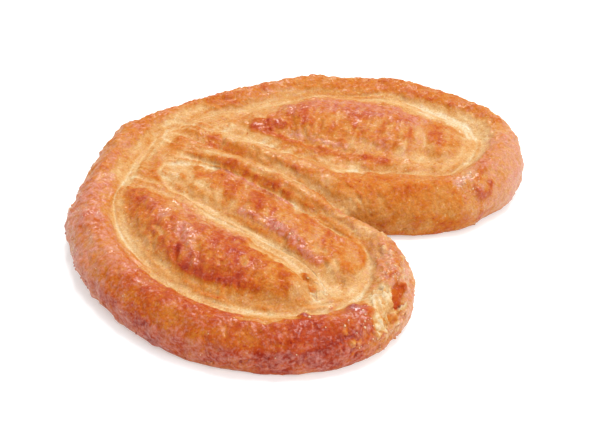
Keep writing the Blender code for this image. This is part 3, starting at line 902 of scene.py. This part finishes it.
def along_touch(points, knots):
    """Distance from the broken line through the knots; flat knots stand for all heights."""
    places = points[:, :len(knots[0])]
    knots = np.array(knots, float)
    if len(knots) == 1:
        return np.linalg.norm(places - knots[0], axis=1)
    least = np.full(len(points), np.inf)
    for start, end in zip(knots, knots[1:]):
        run = end - start
        part = np.clip((places - start) @ run / (run @ run), 0, 1)
        least = np.minimum(least, np.linalg.norm(places - start - part[:, None] * run, axis=1))
    return least


def tones(skin, rough, ridged, pleats, strands):
    """Each point's browning, painted sheen and gloss, from 0 to 1, what its touches add and how pale it is.
    """
    points, layers, facing = skin.points, skin.layers, skin.normals[:, 2]
    sideways = 1 - smoothstep(0.35, 0.75, np.abs(facing))
    rim_bake, side_bake, rim_bloom, side_bloom, valley_bake, valley_reach, _ = edge_tones(skin)
    on_rim = smoothstep(13.0, 9.0, skin.edge_distance)
    bake = PLAIN_BAKE + (rim_bake - PLAIN_BAKE) * on_rim
    bloom = PLAIN_PAINTED_SHEEN + (rim_bloom - PLAIN_PAINTED_SHEEN) * on_rim
    gloss = np.full(len(points), PLAIN_GLOSS)

    ragged = 0.34 * clouds(points, 3.4, seed=20) + 0.16 * cloud(points / 0.9, seed=21)
    share = np.clip(layers["valley"] / VALLEY_DEPTH, 1e-6, 1)
    from_middle = VALLEY_SPREAD * np.sqrt(-np.log(share)) / valley_reach
    for mask, tone in (
        (smoothstep(1.5, 0.2, from_middle + ragged), valley_bake),
        (smoothstep(0.05, 0.95, layers["inner_valley"] - 0.3 * ragged), INNER_VALLEY_BAKE),
        (smoothstep(0.05, 0.95, layers["seam"] - 0.3 * ragged), SEAM_BAKE),
    ):
        bake += (tone - bake) * mask
        bloom *= 1 - 0.8 * mask
        gloss *= 1 - 0.6 * mask

    bake += (side_bake - bake) * sideways * 0.85
    # the sides' own painted pinkish sheen, a reflection painted into the colour
    bloom += (side_bloom - bloom) * sideways * 0.85
    torn, shreds = torn_patch(points)
    bake += (TORN_BAKE - SHRED_PALER * shreds - bake) * torn * 0.95
    bloom *= 1 - torn
    gloss *= 1 - 0.8 * torn

    on_top = smoothstep(5.5, 8.0, points[:, 2])
    untouched = bake.copy()
    for knots, half_width, *touch, strength in TOUCHES:
        mask = strength * smoothstep(1.6, 0.35, along_touch(points, knots) / half_width + 1.2 * ragged)
        if len(knots[0]) == 2:
            mask = mask * on_top
        for tone, wanted in zip((bake, bloom, gloss), touch):
            tone += (wanted - tone) * mask
    proud = np.clip(bake - untouched, -0.3, 0.3)

    bake += 0.10 * clouds(points, 4.2, seed=22)
    bake += (0.08 + 0.04 * sideways) * clouds(points, 1.7, seed=23)
    bake += 0.12 * sideways * clouds(points, 2.8, seed=24, layers=2)
    pale = smoothstep(0.44, 0.24, bake)
    # where the crust is pale, its rough creases come out browner: painted warm shade in the creases
    bake += (
        (ROUGH_BROWNS - PALE_CREASE_PAINTED_SHADE * pale) * rough
        + (STRATUM_BROWNS - STRATUM_BROWNS_LESS * pale) * ridged
        + PLEAT_BROWNS * pleats
        + STRAND_BROWNS * strands
    )
    # painted warm shade: pale parts come out browner where they slope
    bake += 0.10 * pale * smoothstep(0.96, 0.80, facing)
    bake += KNOB_BROWNS * knobbly(points) * (knobs(points) - 0.45)
    # speckled painted sheen, with more of it on the pleats' ridges as painted highlight
    bloomed = np.clip(0.35 + 3 * bloom, 0, 1)
    bloom += (0.25 - 0.12 * sideways) * bloomed * clouds(points, 2.4, seed=25) + 0.9 * pleats * side_bloom
    bloom *= 1 - (0.5 - 0.3 * sideways) * smoothstep(0.5, -0.5, cloud(points / 0.9, seed=26))
    gloss += 0.3 * clouds(points, 2.0, seed=27)

    faded = share * smoothstep(-0.7, 0.6, clouds(points, 9.0, seed=39, layers=2))
    mottled = 0.16 * clouds(points, 5.0, seed=28) + 0.08 * cloud(points / 1.6, seed=40)
    under = UNDERSIDE_BAKE + mottled - 0.22 * faded
    bake += (under - bake) * smoothstep(-0.4, -0.9, facing) * 0.9
    return [*(np.clip(tone, 0, 1) for tone in (bake, bloom, gloss)), proud, pale]


def make_crust(material):
    """The whole pastry as one fine mesh, with its tones as named values at each point."""
    mesh = slab_mesh()
    put_places(mesh, section(places_of(mesh)))
    mesh = fewer_underneath(softened(mesh))

    skin = read_skin(mesh)
    rough, ridged, pleats, strands = fine_relief(skin), lamination(skin), wrinkles(skin), fibres(skin)
    bake, bloom, gloss, proud, pale = tones(skin, rough, ridged, pleats, strands)
    fine = rough + ridged + pleats + STRAND * strands
    moved = relief(skin, fine * (1 - 0.25 * pale), pale) + BROWN_STANDS_PROUD * proud
    places = skin.points + skin.normals * moved[:, None]
    places[:, 2] = np.maximum(places[:, 2], 0)
    places[:, 2] -= places[:, 2].min()
    put_places(mesh, places)

    give_values(mesh, bake=bake, bloom=bloom, gloss=gloss)
    mesh.name = "palmier_crust"
    mesh.materials.clear()
    crust = crust_piece("palmier_crust", mesh, material)
    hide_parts("palmier")
    return places, normals_of(mesh), bake, bloom, gloss


# ---- flakes, sugar and crumbs on the crust


# Thin sheets of pastry lifted at a tear: the attached edge and the free edge, each a line of (x, y), then how
# far the free edge stands above the attached one, and the browning of the attached and of the free edge.
FLAKES = [
    ([(18.6, -28), (22.6, -29.2), (28, -32.2)], [(18.6, -29.4), (22.4, -30.8), (26.8, -33.2)],
     0.15, 0.22, 0.18),
    ([(23.2, -38.6), (26, -38.2), (29, -36.2)], [(22.6, -36.4), (24.8, -35), (27.2, -33.8)], 0.8, 0.24, 0.14),
    ([(26, -36.6), (29.4, -34.4)], [(25.6, -34.8), (28.6, -32.8)], 0.7, 0.22, 0.16),
    ([(34, -33), (37, -31.2), (39.8, -29)], [(34, -31.4), (36.6, -30), (39.2, -27.8)], 0.5, 0.28, 0.2),
]
RIM_FLAKES = [
    ([(42.8, -25), (43, -28.4), (42.6, -32)], [(42.3, -25.4), (42.5, -28.4), (42.1, -31.6)], 1, 0.34, 0.16),
    ([(39.6, -33.6), (42, -32.4)], [(39.4, -32.2), (41.6, -31.2)], 0.6, 0.46, 0.28),
    ([(40, -37.2), (42.4, -35.4)], [(40.2, -35.8), (42, -34.2)], 0.6, 0.4, 0.2),
]
FLAKE_THICKNESS = 0.3
FLAKE_SUNK = 0.12             # how far a flake's attached edge is sunk in the crust
# the flakes' undersides come out browner: painted warm shade under them
FLAKE_UNDERSIDE_PAINTED_SHADE = 0.25
FLAKE_ALONG = 40              # points along each flake, and across it
FLAKE_ACROSS = 9

SUGAR_SEED = 7
SUGAR_GRAINS = 520
# Where most of the sugar lies: x, y, reach, and how thick it is.
SUGAR_PATCHES = [
    (36.5, -19, 3.6, 0.6), (38.4, -24.6, 2.2, 0.7), (35.6, -28, 2, 0.25), (37, -40.5, 2.8, 0.3),
    (41.4, -37.6, 2.4, 0.25), (27.4, -43.4, 1.2, 0.4), (-5.5, -31, 2, 0.1), (-1, -37.4, 1.4, 0.1),
    (12, -20.2, 3, 0.12), (38.6, 16.4, 2.6, 0.4), (41.6, 28, 2.6, 0.25), (20, -55, 6, 0.03),
]
SUGAR_SIZES = (0.07, 0.19)    # half lengths
BIG_BEADS = [
    (36.2, -43), (38.9, -40.1), (39.3, -40.7), (36.3, -41.9), (37.5, -38.1), (38.4, -38.7), (28.9, -43.9),
    (41.2, 16.9), (40.8, 14.8), (39, 14.6), (38.5, 18), (13.2, -20.6), (15.6, -22),
]
BEAD_SIZE = 0.3
CRUMB_SEED = 11
CRUMBS = 150
CRUMB_SIZES = (0.15, 0.42)
BEADS_START = 0.02            # height of the lowest grains and crumbs above the table


def spaced(knots, count):
    """Places evenly spaced along the smooth line through the knots."""
    line = smooth_line(knots)
    lengths = arc_lengths(line)
    at = np.linspace(0, lengths[-1], count)
    return np.column_stack([np.interp(at, lengths, line[:, axis]) for axis in range(2)])


def top_heights(crust_places, crust_normals, spots):
    """The crust's height at each (x, y), from the nearest point of its top."""
    top = np.flatnonzero(crust_normals[:, 2] > 0.2)
    tree = kdtree.KDTree(len(top))
    for index in top:
        x, y, _ = crust_places[index]
        tree.insert((x, y, 0), index)
    tree.balance()
    return np.array([crust_places[tree.find((x, y, 0))[1], 2] for x, y in spots])


def flake_grid(attached, free, lift, heights, seed):
    """Places across one flake, from its attached edge to its ragged free edge."""
    stations = np.linspace(0, 1, FLAKE_ALONG)
    rough = cloud(stacked(stations * 9, seed, 0), seed)
    fine = cloud(stacked(stations * 31, seed, 0), seed + 1)
    reach = (0.25 + 0.75 * np.sin(math.pi * stations) ** 0.5) * (1 + 0.28 * rough + 0.16 * fine)
    rows = []
    for part in np.linspace(0, 1, FLAKE_ACROSS):
        flat = attached + (free - attached) * (part * reach)[:, None]
        wavy = 0.15 * part * cloud(stacked(stations * 6, part * 2, 0), seed + 2)
        rise = heights - FLAKE_SUNK + lift * reach * part ** 1.3 + wavy
        rows.append(np.column_stack([flat, rise]))
    return np.array(rows)


def flake_faces():
    """The faces of one flake: its top, its underside and the strip round its edge."""
    def corner(place, below):
        row, column = place
        return (below * FLAKE_ACROSS + row) * FLAKE_ALONG + column

    faces = []
    for row, column in itertools.product(range(FLAKE_ACROSS - 1), range(FLAKE_ALONG - 1)):
        ring = [(row, column), (row, column + 1), (row + 1, column + 1), (row + 1, column)]
        faces.append([corner(place, 0) for place in ring])
        faces.append([corner(place, 1) for place in ring[::-1]])
    around = [(0, column) for column in range(FLAKE_ALONG)]
    around += [(row, FLAKE_ALONG - 1) for row in range(1, FLAKE_ACROSS)]
    around += [(FLAKE_ACROSS - 1, column) for column in range(FLAKE_ALONG - 2, -1, -1)]
    around += [(row, 0) for row in range(FLAKE_ACROSS - 2, 0, -1)]
    for here, after in zip(around, around[1:] + around[:1]):
        faces.append([corner(here, 0), corner(here, 1), corner(after, 1), corner(after, 0)])
    return np.array(faces)


def make_flakes(name, flakes, crust_places, crust_normals, material):
    """Thin closed sheets, one for each flake, joined into one piece."""
    part = np.linspace(0, 1, FLAKE_ACROSS)[:, None]
    places, faces, bakes = [], [], []
    for number, (attached, free, lift, root_bake, edge_bake) in enumerate(flakes):
        attached, free = spaced(attached, FLAKE_ALONG), spaced(free, FLAKE_ALONG)
        heights = top_heights(crust_places, crust_normals, attached)
        top = flake_grid(attached, free, lift, heights, seed=60 + 5 * number)
        under = top.copy()
        under[:, :, 2] -= FLAKE_THICKNESS * (1 - 0.7 * part)
        tone = np.repeat(root_bake + (edge_bake - root_bake) * part, FLAKE_ALONG)
        sheet = np.concatenate([top, under]).reshape(-1, 3)
        faces.append(flake_faces() + number * len(sheet))
        places.append(sheet)
        # the underside gets the painted warm shade
        bakes.extend([tone, tone + FLAKE_UNDERSIDE_PAINTED_SHADE])
    places = np.concatenate(places)
    mesh = bpy.data.meshes.new(name)
    mesh.from_pydata((places * MM).tolist(), [], np.concatenate(faces).tolist())
    tidy_normals(mesh)
    bake = np.concatenate(bakes) + 0.12 * clouds(places, 1.3, seed=61)
    give_values(mesh, bake=bake, bloom=0.1, gloss=0.2)
    return crust_piece(name, mesh, material)


def random_turn(dice):
    turn, _ = np.linalg.qr(dice.normal(size=(3, 3)))
    return turn


def bead_shape():
    """An icosahedron's corners and faces, the start of each grain and crumb."""
    shape = bmesh.new()
    bmesh.ops.create_icosphere(shape, subdivisions=1, radius=1.0)
    corners = np.array([vert.co[:] for vert in shape.verts])
    faces = np.array([[vert.index for vert in face.verts] for face in shape.faces])
    shape.free()
    return corners, faces


def scattered(places, normals, sizes, dice):
    """One lumpy bead at each place, sunk a little into the crust, as corners and faces."""
    corners, faces = bead_shape()
    all_corners, all_faces = [], []
    for number, (place, normal, size) in enumerate(zip(places, normals, sizes)):
        stretch = dice.uniform(0.65, 1.25, 3) * size
        lumpy = corners * (1 + dice.uniform(-0.18, 0.18, (len(corners), 1))) * stretch
        turned = lumpy @ random_turn(dice)
        all_corners.append(turned + place + normal * size * 0.2)
        all_faces.append(faces + number * len(corners))
    return np.vstack(all_corners), np.vstack(all_faces)


def make_scatter(name, places, normals, sizes, material, dice, bake, bloom):
    """A piece made of one bead at each place, with its own browning and painted sheen."""
    corners, faces = scattered(places, normals, sizes, dice)
    corners[:, 2] = np.maximum(corners[:, 2], BEADS_START)
    mesh = bpy.data.meshes.new(name)
    mesh.from_pydata((corners * MM).tolist(), [], faces.tolist())
    tidy_normals(mesh)
    each = len(corners) // len(places)
    give_values(mesh, bake=np.repeat(bake, each), bloom=np.repeat(bloom, each), gloss=0.7)
    return crust_piece(name, mesh, material)


def nearest_of(crust_places, crust_normals, spots):
    """The index of the crust's top point nearest each (x, y)."""
    top = np.flatnonzero(crust_normals[:, 2] > 0.1)
    flat = crust_places[top, :2]
    return np.array([top[((flat - spot) ** 2).sum(axis=1).argmin()] for spot in np.array(spots)])


def make_sugar(crust_places, crust_normals, bloom, gloss, material):
    """Glassy sugar grains, thickest where the crust is glossy and has painted pink sheen, with a few larger
    beads.
    """
    dice = np.random.default_rng(SUGAR_SEED)
    likely = 0.4 * smoothstep(0.35, 0.95, bloom) * smoothstep(0.35, 0.9, gloss) + 0.002
    clumps = smoothstep(-0.2, 0.5, cloud(crust_places / 1.3, seed=63))
    for x, y, reach, share in SUGAR_PATCHES:
        away = np.hypot(crust_places[:, 0] - x, crust_places[:, 1] - y)
        likely += share * bell(away, reach) * clumps
    likely *= smoothstep(-0.3, 0.1, crust_normals[:, 2])
    grains = dice.choice(len(likely), SUGAR_GRAINS, replace=False, p=likely / likely.sum())
    sizes = dice.uniform(*SUGAR_SIZES, SUGAR_GRAINS)
    beads = nearest_of(crust_places, crust_normals, BIG_BEADS)
    sizes = np.concatenate([sizes, dice.uniform(0.6, 1.1, len(beads)) * BEAD_SIZE])
    chosen = np.concatenate([grains, beads])
    plain = np.zeros(len(chosen))
    places, normals = crust_places[chosen], crust_normals[chosen]
    return make_scatter("sugar_grains", places, normals, sizes, material, dice, plain, plain)


def make_crumbs(crust_places, crust_normals, bake, bloom, material):
    """Rough crumbs of crust stuck to the side, most of them low down."""
    dice = np.random.default_rng(CRUMB_SEED)
    likely = smoothstep(7.5, 1.0, crust_places[:, 2]) * smoothstep(0.9, 0.5, np.abs(crust_normals[:, 2]))
    likely *= 0.1 + smoothstep(0.0, 0.7, cloud(crust_places / 6.0, seed=62))
    chosen = dice.choice(len(likely), CRUMBS, replace=False, p=likely / likely.sum())
    sizes = dice.uniform(*CRUMB_SIZES, CRUMBS) * dice.uniform(0.5, 1.0, CRUMBS)
    browned = bake[chosen] + dice.uniform(-0.2, 0.25, CRUMBS)
    places, normals = crust_places[chosen], crust_normals[chosen]
    return make_scatter("crust_crumbs", places, normals, sizes, material, dice, browned, bloom[chosen])


# ---- materials


LIGHT_LEVEL = 1.74        # how much brighter than its own colour a level surface comes out


def lit_as(*display):
    """The surface colour that looks like this display colour, given from 0 to 255, in the studio's light."""
    def linear(value):
        value /= 255
        return value / 12.92 if value <= 0.04045 else ((value + 0.055) / 1.055) ** 2.4
    return (*(linear(value) / LIGHT_LEVEL for value in display), 1.0)


CRUST_STAGES = [          # browning and colour, from raw dough to scorched sugar
    (0.00, lit_as(250, 224, 182)),
    (0.14, lit_as(243, 198, 138)),
    (0.30, lit_as(235, 176, 108)),
    (0.45, lit_as(226, 148, 68)),
    (0.58, lit_as(221, 126, 36)),
    (0.72, lit_as(208, 96, 20)),
    (0.86, lit_as(196, 70, 16)),
    (1.00, lit_as(166, 42, 12)),
]
# painted sheen: the glaze's pinkish reflection of the white studio, mixed into the colour
PAINTED_SHEEN_COLOUR = lit_as(234, 160, 142)
SUGAR_COLOURS = (lit_as(248, 176, 116), lit_as(255, 226, 186))
FLOOR_COLOUR = (0.72, 0.75, 0.76, 1)
WHITE = (1, 1, 1, 1)
# Noise in the crust's material: size across and detail.
GRAIN = (0.9, 3)
PORES = (0.36, 2)
FLECKS = (0.7, 2)
DOTS = (0.62, 1)
DOT_STRENGTH = 11
SUGAR_MOTTLE = (0.5, 2)
# painted shade for the pits of the fine bumps, by colour channel: warmer where it is darker
PORE_PAINTED_SHADE_DEPTHS = {"Red": 0.6, "Green": 0.9, "Blue": 1.3}
FINE_BUMP_DEPTH = 0.16
MATT, GLOSSY = 0.70, 0.38     # roughness


class Surface:
    """A material's nodes, where each input is a plain value or another node's output."""

    def __init__(self, name):
        self.material = bpy.data.materials.new(name)
        self.material.use_nodes = True
        self.nodes = self.material.node_tree.nodes
        self.position = None

    def feed(self, node, inputs):
        for name, value in inputs.items():
            if isinstance(value, bpy.types.NodeSocket):
                self.material.node_tree.links.new(value, node.inputs[name])
            else:
                node.inputs[name].default_value = value

    def add(self, kind, output, inputs):
        node = self.nodes.new("ShaderNode" + kind)
        self.feed(node, inputs)
        return node.outputs[output]

    def named_value(self, name):
        node = self.nodes.new("ShaderNodeAttribute")
        node.attribute_name = name
        return node.outputs["Fac"]

    def noise(self, size, detail):
        if self.position is None:
            self.position = self.add("NewGeometry", "Position", {})
        inputs = {"Vector": self.position, "Scale": 1 / (size * MM), "Detail": detail}
        return self.add("TexNoise", "Fac", inputs)

    def maths(self, operation, *values, clamp=False):
        node = self.nodes.new("ShaderNodeMath")
        node.operation = operation
        node.use_clamp = clamp
        self.feed(node, dict(enumerate(values)))
        return node.outputs[0]

    def around(self, middle, noise, strength):
        """The middle value, moved up and down by noise whose own middle is a half."""
        return self.maths("MULTIPLY_ADD", self.maths("SUBTRACT", noise, 0.5), strength, middle)

    def mix(self, share, first, second, blend_type="MIX"):
        node = self.nodes.new("ShaderNodeMix")
        node.data_type = "RGBA"
        node.blend_type = blend_type
        self.feed(node, {"Factor": share, "A": first, "B": second})
        return node.outputs["Result"]

    def ramp(self, stages, value):
        node = self.nodes.new("ShaderNodeValToRGB")
        stops = node.color_ramp.elements
        while len(stops) < len(stages):
            stops.new(0.5)
        for stop, (at, colour) in zip(stops, stages):
            stop.position = at
            stop.color = colour
        self.feed(node, {"Fac": value})
        return node.outputs["Color"]

    def finish(self, looks):
        """Gives the shader its looks, and returns the material."""
        self.feed(self.nodes["Principled BSDF"], looks)
        return self.material


def crust_material():
    """Crust coloured by its browning, with a finer grain, dots, painted shade in pores, specks of painted
    sheen and a glaze.
    """
    crust = Surface("baked_crust")
    grain, pores = crust.noise(*GRAIN), crust.noise(*PORES)
    bake = crust.around(crust.named_value("bake"), grain, 0.16)
    dot = crust.maths("SUBTRACT", crust.noise(*DOTS), 0.5)
    dot2 = crust.maths("MULTIPLY", dot, dot)
    bake = crust.maths("MULTIPLY_ADD", dot2, crust.maths("MULTIPLY", dot, DOT_STRENGTH), bake)
    # specks of painted sheen and glints, mixed over the browning
    painted_glint_specks = crust.around(-0.1, crust.noise(*FLECKS), 2.0)
    bloom = crust.maths("ADD", painted_glint_specks, crust.named_value("bloom"))
    bloom = crust.maths("MULTIPLY", bloom, 0.85, clamp=True)
    browned_and_sheened = crust.mix(bloom, crust.ramp(CRUST_STAGES, bake), PAINTED_SHEEN_COLOUR)
    # painted shade in the fine bumps' pits and painted light on their tops, from the same noise as the bump
    painted_pore_shade = {channel: crust.around(1.0, pores, depth) for channel, depth in PORE_PAINTED_SHADE_DEPTHS.items()}
    gloss = crust.named_value("gloss")
    glaze = crust.maths("MULTIPLY", gloss, gloss)
    height = crust.maths("ADD", crust.maths("MULTIPLY", grain, 0.5), pores)
    bumps = {"Strength": 0.8, "Distance": FINE_BUMP_DEPTH * MM, "Height": height}
    return crust.finish({
        "Base Color": crust.mix(1.0, browned_and_sheened, crust.add("CombineColor", "Color", painted_pore_shade), "MULTIPLY"),
        "Roughness": crust.add("MapRange", "Result", {"Value": gloss, "To Min": MATT, "To Max": GLOSSY}),
        "Normal": crust.add("Bump", "Normal", bumps),
        "Specular IOR Level": 0.05,
        "Coat Weight": crust.maths("MULTIPLY_ADD", glaze, 0.95, 0.05),
        "Coat Roughness": 0.22,
        "Subsurface Weight": 0.4,
        "Subsurface Radius": (1.0, 0.7, 0.45),
        "Subsurface Scale": 0.8 * MM,
    })


def sugar_material():
    """Sugar that has melted and set on the crust: pale, warm and glassy."""
    sugar = Surface("melted_sugar")
    colour = sugar.mix(sugar.noise(*SUGAR_MOTTLE), *SUGAR_COLOURS)
    return sugar.finish({"Base Color": colour, "Roughness": 0.2, "Specular IOR Level": 0.6})


# ---- stage, light and camera


FLOOR_SIDE = 3000.0
FLOOR_GLOW = 0.36                # the floor is a lit white sweep, so shadows on it stay light
SKY_STRENGTH = 0.76
SOFT_BOXES = [                   # name, place in metres, side in metres, watts
    ("key_soft_box", (0.12, 0.08, 0.75), 0.36, 4.2),
    ("fill_soft_box", (0.42, -0.26, 0.34), 0.30, 1.5),
    ("back_soft_box", (-0.28, 0.50, 0.50), 0.18, 1.8),
]
VIEW_AIM = (5.85, -0.52, 0.0)    # where on the floor the camera looks
VIEW_TURN = 26.0                 # degrees from straight along +Y
VIEW_HEIGHT = 33.0               # degrees above the floor
VIEW_DISTANCE = 348.8
VIEW_WIDTH = 22.0                # degrees across the picture
VIEW_DEPTHS = (0.01, 10)         # metres from the camera, nearest and farthest
SENSOR = 36.0


def make_floor():
    mesh = bpy.data.meshes.new("floor")
    half = FLOOR_SIDE / 2 * MM
    corners = [(-half, -half, 0), (half, -half, 0), (half, half, 0), (-half, half, 0)]
    mesh.from_pydata(corners, [], [(0, 1, 2, 3)])
    mesh.materials.append(Surface("white_paper").finish({
        "Base Color": FLOOR_COLOUR,
        "Emission Color": WHITE,
        "Emission Strength": FLOOR_GLOW,
        "Roughness": 0.9,
        "Specular IOR Level": 0.0,
    }))
    floor = new_object("floor", mesh)


def make_light():
    world = bpy.data.worlds.new("studio")
    world.use_nodes = True
    sky = world.node_tree.nodes["Background"]
    sky.inputs["Color"].default_value = WHITE
    sky.inputs["Strength"].default_value = SKY_STRENGTH
    bpy.context.scene.world = world
    for name, place, side, power in SOFT_BOXES:
        lamp = bpy.data.lights.new(name, "AREA")
        lamp.size = side
        lamp.energy = power
        box = new_object(name, lamp)
        box.location = Vector(place)
        box.rotation_euler = (-box.location).to_track_quat("-Z", "Y").to_euler()


def make_camera():
    lens = bpy.data.cameras.new("camera")
    lens.sensor_width = SENSOR
    lens.lens = SENSOR / 2 / math.tan(math.radians(VIEW_WIDTH / 2))
    lens.clip_start, lens.clip_end = VIEW_DEPTHS
    camera = new_object("camera", lens)
    turn, height = math.radians(VIEW_TURN), math.radians(VIEW_HEIGHT)
    back = Vector((math.sin(turn) * math.cos(height), -math.cos(turn) * math.cos(height), math.sin(height)))
    camera.location = (Vector(VIEW_AIM) + back * VIEW_DISTANCE) * MM
    camera.rotation_euler = back.to_track_quat("Z", "Y").to_euler()
    bpy.context.scene.camera = camera


# ---- the scene


def main():
    bpy.context.scene.view_settings.view_transform = "Standard"
    make_floor()
    make_light()
    make_camera()
    crusty = crust_material()
    places, normals, bake, bloom, gloss = make_crust(crusty)
    make_flakes("lifted_flakes", FLAKES, places, normals, crusty)
    make_flakes("torn_rims", RIM_FLAKES, places, normals, crusty)
    make_sugar(places, normals, bloom, gloss, sugar_material())
    make_crumbs(places, normals, bake, bloom, crusty)


main()
